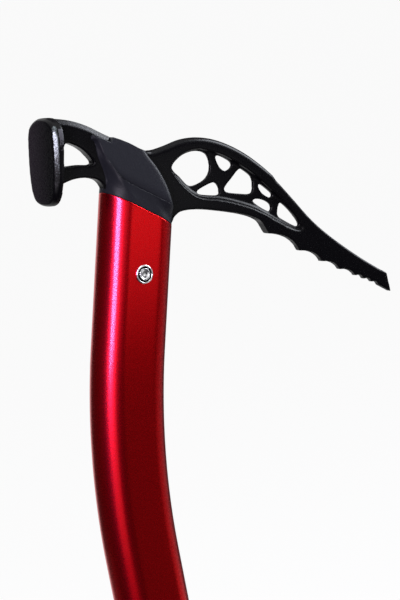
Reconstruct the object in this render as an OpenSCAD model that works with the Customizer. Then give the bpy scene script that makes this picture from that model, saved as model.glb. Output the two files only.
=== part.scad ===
// Ice climbing tool: a forged pick-and-hammer head on a bent oval shaft, with a
// rubber grip, a sliding hand rest locked by a cam lever, and a spike.
// Origin on the axis of the clip-in hole, +Z up the lower shaft, +X to the pick.

/* [Shaft] */
// Width of the oval tube, hammer side to pick side
shaft_w = 34.5; // [31:0.5:38]
// Depth of the oval tube, side to side
shaft_d = 22; // [20:0.5:25]
// Wall of the tube
shaft_wall = 2; // [1.5:0.1:2.4]
// Clip-in hole to the lower end of the tube
tube_end = 18; // [16:0.5:24]
// Straight run of the tube, lower end to the bend
grip_run = 263; // [255:1:320]
// Radius of the bend, on the axis of the tube
bend_r = 340; // [280:5:420]
// Angle of the bend, towards the pick
bend_a = 16; // [8:0.5:20]
// Straight run of the tube, bend to head rivet
neck_run = 33; // [31:1:45]
// Head rivet to the slanted top of the tube, on its axis
cut_rise = 28; // [26:0.5:32]
// Slant of the top of the tube
cut_a = 21; // [17:0.5:24]

/* [Head forging] */
// Shaft axis to the point of the pick
pick_reach = 140; // [128:1:150]
// Head rivet to the crown of the pick
head_rise = 61.6; // [59:0.2:66]
// Thickness of the head round the shaft
body_t = 6; // [5:0.2:7]
// Thickness of the toothed blade
blade_t = 3.6; // [3:0.1:4.4]
// Thickness at the point of the pick
point_t = 3.2; // [2.6:0.1:3.6]
// Thickness of the pierced web in the pick
web_t = 2; // [1.6:0.1:2.6]
// Width of the tang in the tube
tang_w = 22; // [18:0.5:24]
// Head rivet to the lower end of the tang
tang_drop = 24; // [16:1:28]

/* [Hammer] */
// Shaft axis to the middle of the striking face
hammer_reach = 47.5; // [45:0.5:52]
// Shaft axis to the middle of the hammer block's back
hammer_back = 43; // [40:0.5:44]
// Head rivet to the middle of the striking face
hammer_rise = 46.2; // [44:0.2:49]
// Height of the hammer block
hammer_h = 38.2; // [34:0.2:42]
// Width of the hammer block
hammer_w = 26.4; // [20:0.2:28]
// Edge bevel of the striking face
hammer_bevel = 1.4; // [0.6:0.1:2]
// Lean of the striking face
hammer_tilt = 6.5; // [4:0.5:8]
// Lean of the hammer block's back
back_tilt = 4; // [2:0.5:8]

/* [Head cover] */
// Height of the collar that continues the tube
collar_h = 8; // [6:0.5:10]
// Thickness of the cap over the spine of the head
cap_t = 1.6; // [1.2:0.1:2.2]
// Thickness of the cover where it thins out on the steel
edge_t = 0.6; // [0.4:0.1:1]
// Step between the collar and the cheek
crease_t = 1.2; // [0.6:0.1:1.8]
// Middle of the tool to the foot of the cheek
cheek_low = 9.4; // [8.6:0.1:10]
// Middle of the tool to the top of the cheek
cheek_high = 4.8; // [4.4:0.1:6]
// Run over which the cheek falls to its front edge
cheek_fall = 4; // [2:0.5:6]
// Hollow of the flank behind the cheek
flank_hollow = 1; // [0:0.1:1.6]
// Play between the cover and the steel or the tube
cover_fit = 0.1; // [0.05:0.05:0.2]

/* [Rivets] */
// Diameter of the rivet body
rivet_d = 5; // [4:0.2:6]
// Diameter of the rivet flange
flange_d = 8.4; // [7.4:0.2:9.6]
// Thickness of the rivet flange
flange_t = 0.9; // [0.6:0.1:1.4]
// Diameter of the rivet core
core_d = 3.2; // [2.6:0.1:3.4]
// Radial play of a rivet in its holes
rivet_fit = 0.08; // [0.04:0.02:0.14]

/* [Grip] */
// Thickness of the rubber sleeve
grip_t = 1.3; // [1:0.1:2]
// Length of the rubber sleeve
grip_len = 190; // [150:1:196]
// Lower end of the tube to the rubber sleeve
grip_start = 36; // [34:0.5:44]
// Height of the flared lip under the hand rest
lip_h = 8; // [5:0.5:12]
// How far the lip stands out from the sleeve
lip_out = 2.6; // [1.6:0.1:4]
// Play between the sleeve and the tube
grip_fit = 0.05; // [0.02:0.01:0.1]

/* [Spike] */
// Thickness of the spike plate
spike_t = 4; // [3:0.1:5]
// Clip-in hole to the point of the spike
spike_drop = 30; // [24:0.5:40]
// Diameter of the clip-in hole
clip_d = 13; // [10:0.5:14]
// Width of the plate at its shoulder
spike_w = 30; // [26:0.5:31]
// Width of the plate across the clip-in hole
eye_w = 25; // [22:0.5:28]
// Width of the spike tang in the tube
spike_tang_w = 18; // [14:0.5:22]
// Lower end of the tube to the top of the tang
spike_tang_len = 40; // [34:1:50]
// Thickness of the plug under the tube
plug_t = 2.5; // [1.5:0.1:4]
// Lower end of the tube to the spike rivet
spike_rivet_up = 22; // [16:0.5:26]

/* [Hand rest] */
// Height of the collar of the hand rest
rest_h = 24; // [22:0.5:30]
// Wall of the collar
rest_wall = 3.2; // [2.6:0.1:4]
// Rim of the collar above and below the ears
rest_rim = 2; // [1:0.1:3]
// Play between the hand rest and what it slides on
rest_fit = 0.35; // [0.3:0.05:0.6]
// Reach of the hook in front of the collar
hook_reach = 25; // [20:0.5:32]
// Width of the hook
hook_w = 18; // [14:0.5:22]
// Thickness of the rubber pad on the hook
pad_t = 1.6; // [1.2:0.1:2.2]
// Width of the rubber pad
pad_w = 13; // [10:0.5:16]

/* [Cam lever] */
// Diameter of the lever pin
pin_d = 3; // [2.4:0.1:3.6]
// Running play of the lever on its pin
pin_fit = 0.05; // [0.03:0.01:0.09]
// Radius of the cam
cam_r = 4.4; // [4:0.1:5]
// Throw of the cam
cam_throw = 0.7; // [0.4:0.1:1]
// Thickness of the ears that carry the pin
ear_t = 3.4; // [3:0.1:4.5]
// Thickness of the lever arm
lever_t = 3; // [2.4:0.1:3.6]
// Depth of the brake shoe
shoe_t = 4.6; // [4:0.1:6]
// Width of the brake shoe
shoe_w = 9; // [7:0.5:11]

/* [Hidden] */
$fn = 64;
// Reach of cutting tools past the faces that they cut
past = 1;

// Section of the tube
bore_w = shaft_w - 2*shaft_wall;
bore_d = shaft_d - 2*shaft_wall;
tube_h = tube_end + grip_run;
cut_slope = tan(cut_a);
// The head rivet, at the top of the neck
head_x = bend_r*(1 - cos(bend_a)) + neck_run*sin(bend_a);
head_z = tube_h + bend_r*sin(bend_a) + neck_run*cos(bend_a);
// Corners round each end of the tube's oval, and along its bend
ring_steps = 16;
bend_steps = 10;

// Outline of the head forging: the pick in hundredths of its reach and of the
// head's rise, the hammer arm in hundredths of its own reach and the head's rise
pick_crown = [[1.3, 87.3], [2.6, 88.1], [4.4, 88.7], [6.5, 90.2], [9.7, 93], [13.2, 96.5],
              [17, 98.9], [21.5, 100], [27, 99.2], [33.1, 95.8], [39.3, 90.3], [45, 83.3],
              [50.2, 75.6]];
pick_step = [[51.4, 72.2], [53.3, 68.8]];
pick_back = [[59.6, 57], [66.6, 43.7], [75, 31.4], [86.8, 17.3], [98, 6]];
pick_point = [100, -8.1];
fine_teeth = [[85.2, 3.1], [88.7, 0.8], [92, -1.3], [94.9, -3.4]];
coarse_teeth = [[49.4, 32.3], [62.2, 20.5], [71.3, 13.1], [78.7, 7.5], [85.2, 3.1]];
pick_belly = [[47.8, 37], [45.6, 41.9], [40, 45.3], [30.6, 47.2], [21.5, 47.6], [15.8, 45.6],
              [13.3, 41.4]];
// Where a gullet's control point lies: share of the tooth pitch along and above the chord
gullet_along = 0.635;
coarse_gullet = 0.29;
fine_gullet = 0.45;
arm_top = [[96, 106.1], [91.5, 106.2], [74.8, 105.6], [57.9, 102.9], [41, 98.2], [32.2, 95.9]];
spine = [[32.2, 93.3], [16.9, 89.9], [2, 84.7]];
arm_belly = [[36.4, 59.8], [40.8, 63.6], [46.5, 65.6], [56.6, 66.1], [67.4, 64.8], [77.8, 61.6],
             [91.5, 55.6], [96, 54]];
arm_window = [[79.8, 88.8], [69.5, 88.4], [60, 85.1], [52.5, 80.4], [48.8, 77.2], [51.5, 75.4],
              [63.2, 74.8], [76.8, 73.2], [80.2, 75]];
// Half outline of the striking face from top to bottom, in hundredths of its half sizes
hammer_half = [[0, 100], [28, 98.6], [52, 94], [72, 87], [87, 78], [95, 66], [99, 46], [100, 18],
               [99.5, -8], [97, -30], [92.5, -50], [85, -69], [73, -84], [55, -94], [30, -98.8],
               [0, -100]];
// How far the bevel draws the striking face in, as a share of its depth
bevel_in = 0.65;

// The pierced web of the pick: its edge, and its seven openings from shaft to point
web_edge = [[11.2, 78.2], [15.3, 87.4], [20.5, 91.4], [24, 90.8], [29.2, 88.8], [33.8, 85],
            [42, 76], [50.6, 63], [54.8, 56.8], [59, 48.7], [63, 38], [61.3, 35],
            [56.6, 38.1], [47.3, 46.8], [41.4, 51.1], [32, 54.9], [23.7, 55.8], [19, 59.7],
            [14, 68.5]];
web_holes = [
    [[12.1, 77], [15.5, 86], [20.5, 89.9], [24.8, 87.7], [26.3, 77.6], [24.4, 69.2],
     [19.2, 64.3], [15.2, 70.6]],
    [[28.1, 86.2], [29.1, 87.6], [31.7, 86], [34.2, 82.9], [34.1, 79.3], [32.2, 76.7],
     [29.9, 79.2]],
    [[22, 60.9], [24.6, 64.7], [28, 67.9], [29.8, 65.4], [30.4, 61], [29.9, 58.8],
     [26, 58.4], [22.6, 58.9]],
    [[32.2, 64.4], [34.6, 71.6], [37.3, 78.7], [39.4, 77.6], [42.2, 73.2], [43, 66],
     [42.3, 61.2], [38.2, 60.7], [33.2, 61.3]],
    [[44.9, 67.7], [46.2, 68], [50, 62.8], [50.5, 60.4], [49.6, 58.9], [46.4, 62.3]],
    [[43.2, 55.7], [44.4, 57.4], [47.4, 56.9], [50, 54], [50.4, 50.2], [49.6, 48.7],
     [46.2, 51.6]],
    [[53.9, 55.6], [53, 51], [53.2, 45.8], [56, 42.4], [60, 38.9], [61.6, 39.2],
     [60.6, 43.8], [57.4, 50.6]]];

// Edges of the head cover, in hundredths of the same sizes: the back edge and the tip of
// the tongue from the back of the tube, the front edge from the front of the tube
flank_edge = [[0.4, 65], [3.1, 71.4], [6.3, 76.3], [10.4, 82.8], [13.8, 91]];
tongue_tip = [18.2, 95.3];
tongue_top = [[52.6, 96.3], [43.2, 94.2], [34.1, 91.9]];
cap_top = [[32.2, 95.9], [24.4, 94.5], [14.7, 92.2], [4.8, 89.1]];
front_edge = [[2.4, 57.5], [3.7, 64.3], [5.5, 71.4], [7.5, 77.3], [9.9, 83.1], [11.5, 87.8]];
// The crease runs level with the tube's top, then climbs along the flank to the tongue
flank_turn = 8.2;
flank_climb = 0.78;
crease_end = 1.3;
// Points across the cover, along its tongue, up its flank and up its cheek
cover_cols = 24;
tongue_cols = 7;
flank_rows = 6;
cheek_rows = 9;

function mm_pick(p) = [p.x*pick_reach/100, p.y*head_rise/100];
function mm_arm(p) = [-p.x*hammer_reach/100, p.y*head_rise/100];
// Height of the slanted top of the tube
function cut_z(x) = cut_rise - x*cut_slope;
function mm_back(p) = [-shaft_w/2 - p.x*hammer_reach/100, p.y*head_rise/100];
function mm_front(p) = [shaft_w/2 - p.x*pick_reach/100, p.y*head_rise/100];
function reversed(list) = [for (i = [len(list) - 1:-1:0]) list[i]];

// One point of a smooth curve through b and c, between the neighbours a and d
function blend_point(a, b, c, d, t) =
    0.5*(2*b + (c - a)*t + (2*a - 5*b + 4*c - d)*t*t + (3*b - a - 3*c + d)*t*t*t);
// A smooth open curve through the points
function curve(p, steps = 4) = let (n = len(p)) concat(
    [for (i = [0:n - 2], k = [0:steps - 1])
        blend_point(p[max(i - 1, 0)], p[i], p[i + 1], p[min(i + 2, n - 1)], k/steps)],
    [p[n - 1]]);
// A smooth closed curve through the points
function loop(p, steps = 4) = let (n = len(p))
    [for (i = [0:n - 1], k = [0:steps - 1])
        blend_point(p[(i + n - 1)%n], p[i], p[(i + 1)%n], p[(i + 2)%n], k/steps)];
// Points along an arc about c
function arc(c, r, from, to, steps = 12) =
    [for (k = [0:steps]) let (a = from + (to - from)*k/steps) c + r*[cos(a), sin(a)]];
// The gullet between two tooth points: shallow behind the first, steep before the second
function gullet(a, b, depth, steps = 6) =
    let (chord = b - a, control = a + gullet_along*chord + depth*[-chord.y, chord.x])
    [for (k = [0:steps - 1]) let (t = k/steps)
        (1 - t)*(1 - t)*a + 2*t*(1 - t)*control + t*t*b];
function gullets(teeth, depth) =
    [for (i = [0:len(teeth) - 2]) each gullet(teeth[i], teeth[i + 1], depth)];

// The point at share u of the way along a list of points
function along(p, u) = let (s = u*(len(p) - 1), i = min(floor(s), len(p) - 2))
    mix(p[i], p[i + 1], s - i);
function mix(a, b, t) = a + (b - a)*t;
// A rise from 0 to 1 that starts and ends level
function ease(t) = let (c = min(max(t, 0), 1)) c*c*(3 - 2*c);

// Flat oval of what fits the tube: w along X, d along Y
module oval(w, d) {
    square([w - d, d], center = true);
    for (side = [-1, 1]) translate([side*(w - d)/2, 0]) circle(d = d);
}

// A flat shape in X and Z, given thickness t about the middle plane
module plate(t) {
    rotate([90, 0, 0]) linear_extrude(t, center = true) children();
}

// Places the head: its own origin on the head rivet, its own Z up the neck
module at_head() {
    translate([head_x, 0, head_z]) rotate([0, bend_a, 0]) children();
}

// Everything above the slanted top of the tube, raised by rise
module above_cut(rise = 0) {
    span = 2*(pick_reach + hammer_reach);
    translate([0, 0, cut_rise + rise]) rotate([0, cut_a, 0])
        translate([-span/2, -span/2, 0]) cube(span);
}

// A round hole through the tube at its own origin, along Y
module rivet_hole() {
    rotate([90, 0, 0]) cylinder(d = rivet_d + 2*rivet_fit, h = shaft_d + 2*past, center = true);
}

// Corners of the drawn tube's oval, once round
function ring(w, d) = let (half = (w - d)/2)
    concat(arc([half, 0], d/2, -90, 90, ring_steps), arc([-half, 0], d/2, 90, 270, ring_steps));
// The oval along the shaft: its lower end, the bend, and the slant at its top
function ring_low(w, d, z) = [for (p = ring(w, d)) [p.x, p.y, z]];
function ring_bend(w, d, a) = [for (p = ring(w, d)) let (r = bend_r - p.x)
    [bend_r - r*cos(a), p.y, tube_h + r*sin(a)]];
function ring_top(w, d, rise) = [for (p = ring(w, d)) let (z = cut_z(p.x) + rise)
    [head_x + p.x*cos(bend_a) + z*sin(bend_a), p.y, head_z - p.x*sin(bend_a) + z*cos(bend_a)]];

// A bar that follows the shaft from one end to the other, longer by more at each end
module tube_run(w, d, more) {
    n = 2*(ring_steps + 1);
    rows = bend_steps + 2;
    polyhedron(
        concat(ring_low(w, d, tube_end - more),
            [for (k = [0:bend_steps]) each ring_bend(w, d, bend_a*k/bend_steps)],
            ring_top(w, d, more)),
        concat([[for (i = [0:n - 1]) i], [for (i = [n - 1:-1:0]) rows*n + i]],
            [for (r = [0:rows - 1], i = [0:n - 1]) let (j = (i + 1)%n)
                [r*n + i, (r + 1)*n + i, (r + 1)*n + j, r*n + j]]));
}

module shaft() {
    color("crimson") difference() {
        tube_run(shaft_w, shaft_d, 0);
        tube_run(bore_w, bore_d, past);
        at_head() rivet_hole();
        translate([0, 0, tube_end + spike_rivet_up]) rivet_hole();
    }
}

// Side view of the forging, with its tang
module head_outline() {
    shoulder = cap_t;
    front = shaft_w/2;
    tang = tang_w/2;
    polygon(concat(
        curve([for (p = arm_top) mm_arm(p)]),
        curve([for (p = spine) mm_arm(p)]),
        curve([for (p = pick_crown) mm_pick(p)]),
        [for (p = pick_step) mm_pick(p)],
        curve([for (p = pick_back) mm_pick(p)]),
        [mm_pick(pick_point)],
        reversed(concat(
            gullets([for (p = coarse_teeth) mm_pick(p)], coarse_gullet),
            gullets([for (p = fine_teeth) mm_pick(p)], fine_gullet),
            [mm_pick(fine_teeth[len(fine_teeth) - 1])])),
        curve([for (p = pick_belly) mm_pick(p)]),
        [[front + shoulder/4, cut_z(front) + shoulder],
         [tang, cut_z(tang) + shoulder], [tang, -tang_drop],
         [-tang, -tang_drop], [-tang, cut_z(-tang) + shoulder],
         [-front, cut_z(-front) + shoulder]],
        curve([for (p = arm_belly) mm_arm(p)])));
}

// Plan view of the forging: thick round the shaft, thinning to the point
module head_plan() {
    reach = 2*hammer_reach;
    half = [[-reach, body_t/2], [0.45*pick_reach, body_t/2], [0.6*pick_reach, blade_t/2],
            [pick_reach + past, point_t/2]];
    polygon(concat(half, reversed([for (p = half) [p.x, -p.y]])));
}

// The striking face's outline, t thick, its edge drawn in by inset
module hammer_plate(inset, t) {
    half = curve([for (p = hammer_half)
        [p.x*(hammer_w/2 - inset)/100, p.y*(hammer_h/2 - inset)/100]], 3);
    rotate([90, 0, 90]) linear_extrude(t)
        polygon(concat(reversed(half), [for (p = half) if (p.x > 0) [-p.x, p.y]]));
}

module hammer_block() {
    skin = hammer_bevel/4;
    span = 4*hammer_reach;
    intersection() {
        translate([-hammer_reach, 0, hammer_rise]) rotate([0, -hammer_tilt, 0]) {
            hull() {
                hammer_plate(bevel_in*hammer_bevel, skin);
                translate([hammer_bevel, 0, 0]) hammer_plate(0, skin);
            }
            translate([hammer_bevel, 0, 0]) hammer_plate(0, hammer_reach - hammer_back + hammer_h);
        }
        translate([-hammer_back, 0, hammer_rise]) rotate([0, -back_tilt, 0])
            translate([-span, -span/2, -span/2]) cube(span);
    }
}

module web_pocket() {
    for (side = [-1, 1])
        translate([0, side*(web_t/2 + body_t/2), 0])
            plate(body_t) polygon(loop([for (p = web_edge) mm_pick(p)]));
}

module web_openings() {
    for (hole = web_holes)
        plate(2*body_t) polygon(loop([for (p = hole) mm_pick(p)]));
}

module forged_head() {
    color("#16161a") at_head() difference() {
        union() {
            intersection() {
                plate(2*body_t) head_outline();
                translate([0, 0, -2*head_rise]) linear_extrude(4*head_rise) head_plan();
            }
            hammer_block();
        }
        web_pocket();
        web_openings();
        plate(2*body_t) polygon(loop([for (p = arm_window) mm_arm(p)]));
        rivet_hole();
    }
}

// Half depth of the tube at x
function oval_half(x) = let (over = max(0, abs(x) - (shaft_w - shaft_d)/2))
    sqrt(max(0, shaft_d*shaft_d/4 - over*over));
// Height of the crease between the proud collar and flank and the recessed cheek
function crease_z(x) = let (t = x + shaft_w/2 - flank_turn)
    cut_z(x) + collar_h + flank_climb*(sqrt(t*t + flank_turn*flank_turn/9) - t)/2;

// The lines that bound the cover, one point for each column
steel = body_t/2 + edge_t;
tip = mm_back(tongue_tip);
crease_x = mm_front([crease_end, 0]).x;
front_curve = curve(concat([[crease_x, crease_z(crease_x)]],
    [for (p = front_edge) mm_front(p)]));
back_curve = curve(concat([[-shaft_w/2, cut_z(-shaft_w/2)]],
    [for (p = flank_edge) mm_back(p)], [tip]));
tongue_curve = curve(concat([tip], [for (p = tongue_top) mm_arm(p)]));
cap_curve = curve(concat([for (p = cap_top) mm_arm(p)], [front_curve[len(front_curve) - 1]]));
cap_cols = cover_cols - tongue_cols - 1;
foot_line = [for (k = [0:cover_cols]) let (x = -shaft_w/2*cos(180*k/cover_cols))
    [x, cut_z(x)]];
crease_line = [for (k = [0:cover_cols]) let (x = mix(tip.x, crease_x, k/cover_cols))
    k == 0 ? tip : [x, crease_z(x)]];
top_line = concat([for (k = [0:tongue_cols]) along(tongue_curve, k/tongue_cols)],
    [for (k = [0:cap_cols]) along(cap_curve, k/cap_cols)]);

// Half depth of the cheek at p, gap behind the front edge
function cheek(p, gap, k) = let (
    low = cut_rise + collar_h, high = mm_arm(cap_top[0]).y,
    full = mix(cheek_low, cheek_high, (p.y - low)/(high - low)))
    steel + (full - steel)*(1 - exp(-gap/cheek_fall))*ease(4*k/cover_cols);
// Height of the step at column k
function crease_step(k) = let (u = k/cover_cols)
    crease_t*(0.15 + 0.85*ease(4*u - 0.8))*ease(8*(1 - u));
// A point of the collar and flank: column k, share t of the way from the tube to the crease
function flank_point(k, t) = let (
    u = k/cover_cols,
    p = mix(foot_line[k], crease_line[k], t)
        + (1 - u)*(1 - u)*(along(back_curve, t) - mix(foot_line[0], tip, t)),
    rim = cheek(crease_line[k], crease_x - crease_line[k].x, k) + crease_step(k),
    deep = mix(oval_half(foot_line[k].x), rim, t) - flank_hollow*sin(180*t)*ease(2 - 4*u))
    [p.x, -max(deep, steel*ease(6*t), edge_t/10), p.y];
// A point of the cheek: column k, share t of the way from the crease to the top
function cheek_point(k, t) = let (
    u = k/cover_cols,
    side = along(front_curve, t),
    p = mix(crease_line[k], top_line[k], t)
        + u*u*(side - mix(crease_line[cover_cols], top_line[cover_cols], t)))
    [p.x, -cheek(p, max(side.x - p.x, 0), k), p.y];

cover_last = flank_rows + 1 + cheek_rows;
cover_points = concat(
    [for (j = [0:flank_rows], k = [0:cover_cols]) flank_point(k, j/flank_rows)],
    [for (j = [0:cheek_rows], k = [0:cover_cols]) cheek_point(k, j/cheek_rows)]);
// The rows of the cheek all start at the tip, and the step ends on the front edge
function at(r, k) = (k == 0 && r > flank_rows) ? flank_rows*(cover_cols + 1)
    : (k == cover_cols && r == flank_rows + 1) ? at(flank_rows, k) : r*(cover_cols + 1) + k;
cover_skin = [for (r = [0:cover_last - 1], k = [0:cover_cols - 1], half = [0, 1])
    let (far = at(r + 1, k + 1),
         f = half == 0 ? [at(r, k), at(r + 1, k), far] : [at(r, k), far, at(r, k + 1)])
    if (f[0] != f[1] && f[1] != f[2] && f[0] != f[2]) f];
// The free edge, from the front of the tube over the top to the back of the tube
cover_rim = concat([at(0, cover_cols), at(flank_rows, cover_cols)],
    [for (r = [flank_rows + 2:cover_last - 1]) at(r, cover_cols)],
    [for (k = [cover_cols:-1:0]) at(cover_last, k)],
    [for (r = [flank_rows - 1:-1:0]) at(r, 0)]);

// The outside of one half of the cover, down to the middle plane
module cover_half() {
    n = len(cover_points);
    m = len(cover_rim);
    foot = concat([for (k = [0:cover_cols]) at(0, k)], [n, n + m - 1]);
    front = concat([for (r = [0:flank_rows]) at(r, cover_cols)], [n + 1, n]);
    polyhedron(
        concat(cover_points, [for (i = cover_rim) [cover_points[i].x, 0, cover_points[i].z]]),
        concat(cover_skin, [foot, front, [for (i = [0:m - 1]) n + i]],
            [for (i = [1:m - 2]) each [[cover_rim[i], cover_rim[i + 1], n + i + 1],
                                       [cover_rim[i], n + i + 1, n + i]]]));
}

// One half of the cover, on the -Y side, shaped to the steel that it sits on
module head_cover() {
    difference() {
        cover_half();
        plate(body_t + 2*cover_fit) head_outline();
    }
}

module head_cover_left() { color("#2b2b31") at_head() head_cover(); }
module head_cover_right() { color("#2b2b31") at_head() mirror([0, 1, 0]) head_cover(); }

// One packer that fills the tube beside the tang, on the -Y side
module tang_packer() {
    span = 4*head_rise;
    difference() {
        translate([0, 0, -tang_drop]) linear_extrude(tang_drop + cut_rise + shaft_w)
            oval(bore_w - 2*cover_fit, bore_d - 2*cover_fit);
        above_cut();
        translate([-span/2, 0, -span/2]) cube(span);
        plate(body_t + 2*cover_fit) head_outline();
        rivet_hole();
    }
}

module tang_packer_left() { color("#232328") at_head() tang_packer(); }
module tang_packer_right() { color("#232328") at_head() mirror([0, 1, 0]) tang_packer(); }

// A set rivet along Y at its own origin, flange on -Y
module rivet_body() {
    half = shaft_d/2;
    tail_d = (rivet_d + flange_d)/2;
    color("silver") rotate([90, 0, 0]) difference() {
        union() {
            translate([0, 0, -half]) cylinder(d = rivet_d, h = 2*half);
            translate([0, 0, half]) cylinder(d1 = flange_d, d2 = flange_d - flange_t, h = flange_t);
            translate([0, 0, -half - 2*flange_t]) cylinder(d = tail_d, h = 2*flange_t);
        }
        translate([0, 0, -half - 3*flange_t]) cylinder(d = core_d + rivet_fit, h = 2*half + 6*flange_t);
    }
}

// The core that sets the rivet, dished at the flange
module rivet_core() {
    half = shaft_d/2;
    color("gainsboro") rotate([90, 0, 0]) difference() {
        translate([0, 0, -half - 2*flange_t]) cylinder(d = core_d, h = 2*half + 2.6*flange_t);
        translate([0, 0, half + 0.6*flange_t + core_d/4]) sphere(d = core_d*0.9);
    }
}

module head_rivet() { at_head() rivet_body(); }
module head_rivet_core() { at_head() rivet_core(); }
module at_spike_rivet() { translate([0, 0, tube_end + spike_rivet_up]) children(); }
module spike_rivet() { at_spike_rivet() rivet_body(); }
module spike_rivet_core() { at_spike_rivet() rivet_core(); }

// Rubber sleeve with a flared lip at its foot
grip_w = shaft_w + 2*grip_t;
grip_d = shaft_d + 2*grip_t;
grip_low = tube_end + grip_start;

module grip_sleeve() {
    flare = 4;
    color("#222226") difference() {
        union() {
            translate([0, 0, grip_low]) linear_extrude(grip_len) oval(grip_w, grip_d);
            for (k = [0:flare - 1])
                translate([0, 0, grip_low + k*lip_h/flare]) linear_extrude(lip_h/flare)
                    oval(grip_w + 2*lip_out*(1 - k/flare), grip_d + 2*lip_out*(1 - k/flare));
        }
        translate([0, 0, grip_low - past]) linear_extrude(grip_len + 2*past)
            oval(shaft_w + 2*grip_fit, shaft_d + 2*grip_fit);
    }
}

// Spike plate with its eye, shoulder and tang
shoulder_z = tube_end - plug_t;

module spike() {
    edge = curve([[spike_w/2, shoulder_z], [spike_w/2 - 1, shoulder_z*0.6], [eye_w/2, 0],
                  [eye_w/2*0.62, -spike_drop*0.45], [0, -spike_drop]]);
    color("silver") difference() {
        union() {
            plate(spike_t) polygon(concat(edge, reversed([for (p = edge) [-p.x, p.y]])));
            translate([-spike_tang_w/2, -spike_t/2, shoulder_z - past])
                cube([spike_tang_w, spike_t, plug_t + spike_tang_len + past]);
        }
        rotate([90, 0, 0]) cylinder(d = clip_d, h = 2*spike_t, center = true);
        at_spike_rivet() rivet_hole();
    }
}

// Plug that closes the foot of the tube round the spike tang
module spike_plug() {
    color("#1e1e22") difference() {
        union() {
            translate([0, 0, shoulder_z]) linear_extrude(plug_t) oval(shaft_w, shaft_d);
            translate([0, 0, shoulder_z]) linear_extrude(plug_t + spike_tang_len)
                oval(bore_w - 2*cover_fit, bore_d - 2*cover_fit);
        }
        translate([-spike_tang_w/2 - cover_fit, -spike_t/2 - cover_fit, shoulder_z - past])
            cube([spike_tang_w + 2*cover_fit, spike_t + 2*cover_fit, plug_t + spike_tang_len + 2*past]);
        at_spike_rivet() rivet_hole();
    }
}

// The hand rest stands on the lip of the grip when it is right down
rest_low = grip_low + lip_h + rest_fit;
rest_in_w = grip_w + 2*rest_fit;
rest_in_d = grip_d + 2*rest_fit;
rest_out_w = rest_in_w + 2*rest_wall;
rest_out_d = rest_in_d + 2*rest_wall;
// Room for the lever between the ears
lever_h = rest_h - 2*(ear_t + rest_rim) - 6*rest_fit;
lever_z = rest_low + rest_h/2;
// The shoe bears on the back of the grip, the cam on the shoe, the pin carries the cam
shoe_front = -grip_w/2 - rest_fit;
shoe_back = shoe_front - shoe_t;
pin_x = shoe_back - rest_fit - cam_r - cam_throw;
// Middle of the round end of the collar, which the lever wraps
end_x = -(rest_out_w - rest_out_d)/2;
wrap_r = rest_out_d/2 + 2*rest_fit;

// The hook in its own hundredths: along its reach from the collar's front, up the collar
hook_root = rest_out_w/2 - rest_wall;
hook_line = [[12, 86], [34, 58], [66, 46], [92, 46], [100, 34]];
hook_sole = [[100, 24], [80, 10], [40, 3]];
function mm_hook(p) = [rest_out_w/2 + p.x*hook_reach/100, p.y*rest_h/100];
hook_top = curve(concat([[hook_root, rest_h]], [for (p = hook_line) mm_hook(p)]));
hook_foot = curve(concat([for (p = hook_sole) mm_hook(p)], [[hook_root, 0]]));
// Points of the hook's top line that the pad leaves free, at the collar and at the tip
pad_from = 5;
pad_short = 4;

module hook_pad() {
    run = [for (i = [pad_from:len(hook_top) - pad_short]) hook_top[i]];
    polygon(concat(run, reversed([for (p = run) p - [0, pad_t]])));
}

module hand_rest() {
    color("#26262b") translate([0, 0, rest_low]) difference() {
        union() {
            linear_extrude(rest_h) oval(rest_out_w, rest_out_d);
            plate(hook_w) polygon(concat(hook_top, hook_foot));
            for (z = [rest_h/2 + lever_h/2 + rest_fit, rest_h/2 - lever_h/2 - rest_fit - ear_t])
                translate([0, 0, z]) linear_extrude(ear_t) {
                    translate([pin_x, 0]) circle(cam_r);
                    translate([pin_x, -cam_r]) square([-pin_x + end_x - rest_in_d/2, 2*cam_r]);
                }
        }
        translate([0, 0, -past]) linear_extrude(rest_h + 2*past) oval(rest_in_w, rest_in_d);
        plate(pad_w) hook_pad();
        translate([shoe_back - rest_wall, -shoe_w/2 - rest_fit, rest_h/2 - lever_h/2 - rest_fit])
            cube([-shoe_back + rest_wall + end_x, shoe_w + 2*rest_fit, lever_h + 2*rest_fit]);
        translate([pin_x, 0, -past]) cylinder(d = pin_d + pin_fit, h = rest_h + 2*past);
    }
}

module hand_rest_pad() {
    color("#3a3a40") translate([0, 0, rest_low]) plate(pad_w) hook_pad();
}

module brake_shoe() {
    color("#4a4a50") translate([0, 0, lever_z - lever_h/2]) linear_extrude(lever_h) difference() {
        translate([shoe_back, -shoe_w/2]) square([shoe_t + rest_wall, shoe_w]);
        oval(grip_w + 2*rest_fit, grip_d + 2*rest_fit);
    }
}

// Where the lever's band leaves the cam, and how much later it does on its outside
band_from = 218;
band_lag = 4;

// Plan of the lever: cam, neck, band round the end of the collar and thumb tab
module lever_plan() {
    arm_end = end_x + rest_out_w/2;
    band = wrap_r + lever_t;
    tab_r = 0.8*lever_t;
    translate([pin_x + cam_throw, 0]) circle(cam_r);
    translate([arm_end, -wrap_r - tab_r]) circle(tab_r);
    polygon(concat(
        [[pin_x + 0.7*cam_r, -0.55*cam_r], [pin_x - cam_r/2, -0.7*cam_r]],
        arc([end_x, 0], band, band_from + band_lag, 270), [[arm_end, -band], [arm_end, -wrap_r]],
        arc([end_x, 0], wrap_r, 270, band_from)));
}

module cam_lever() {
    color("#1b1b20") translate([0, 0, lever_z - lever_h/2]) difference() {
        linear_extrude(lever_h) lever_plan();
        translate([pin_x, 0, -past]) cylinder(d = pin_d + 2*pin_fit, h = lever_h + 2*past);
    }
}

module lever_pin() {
    reach = lever_h + 2*rest_fit + 2*ear_t;
    color("silver") translate([pin_x, 0, lever_z - reach/2]) cylinder(d = pin_d, h = reach);
}

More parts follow.
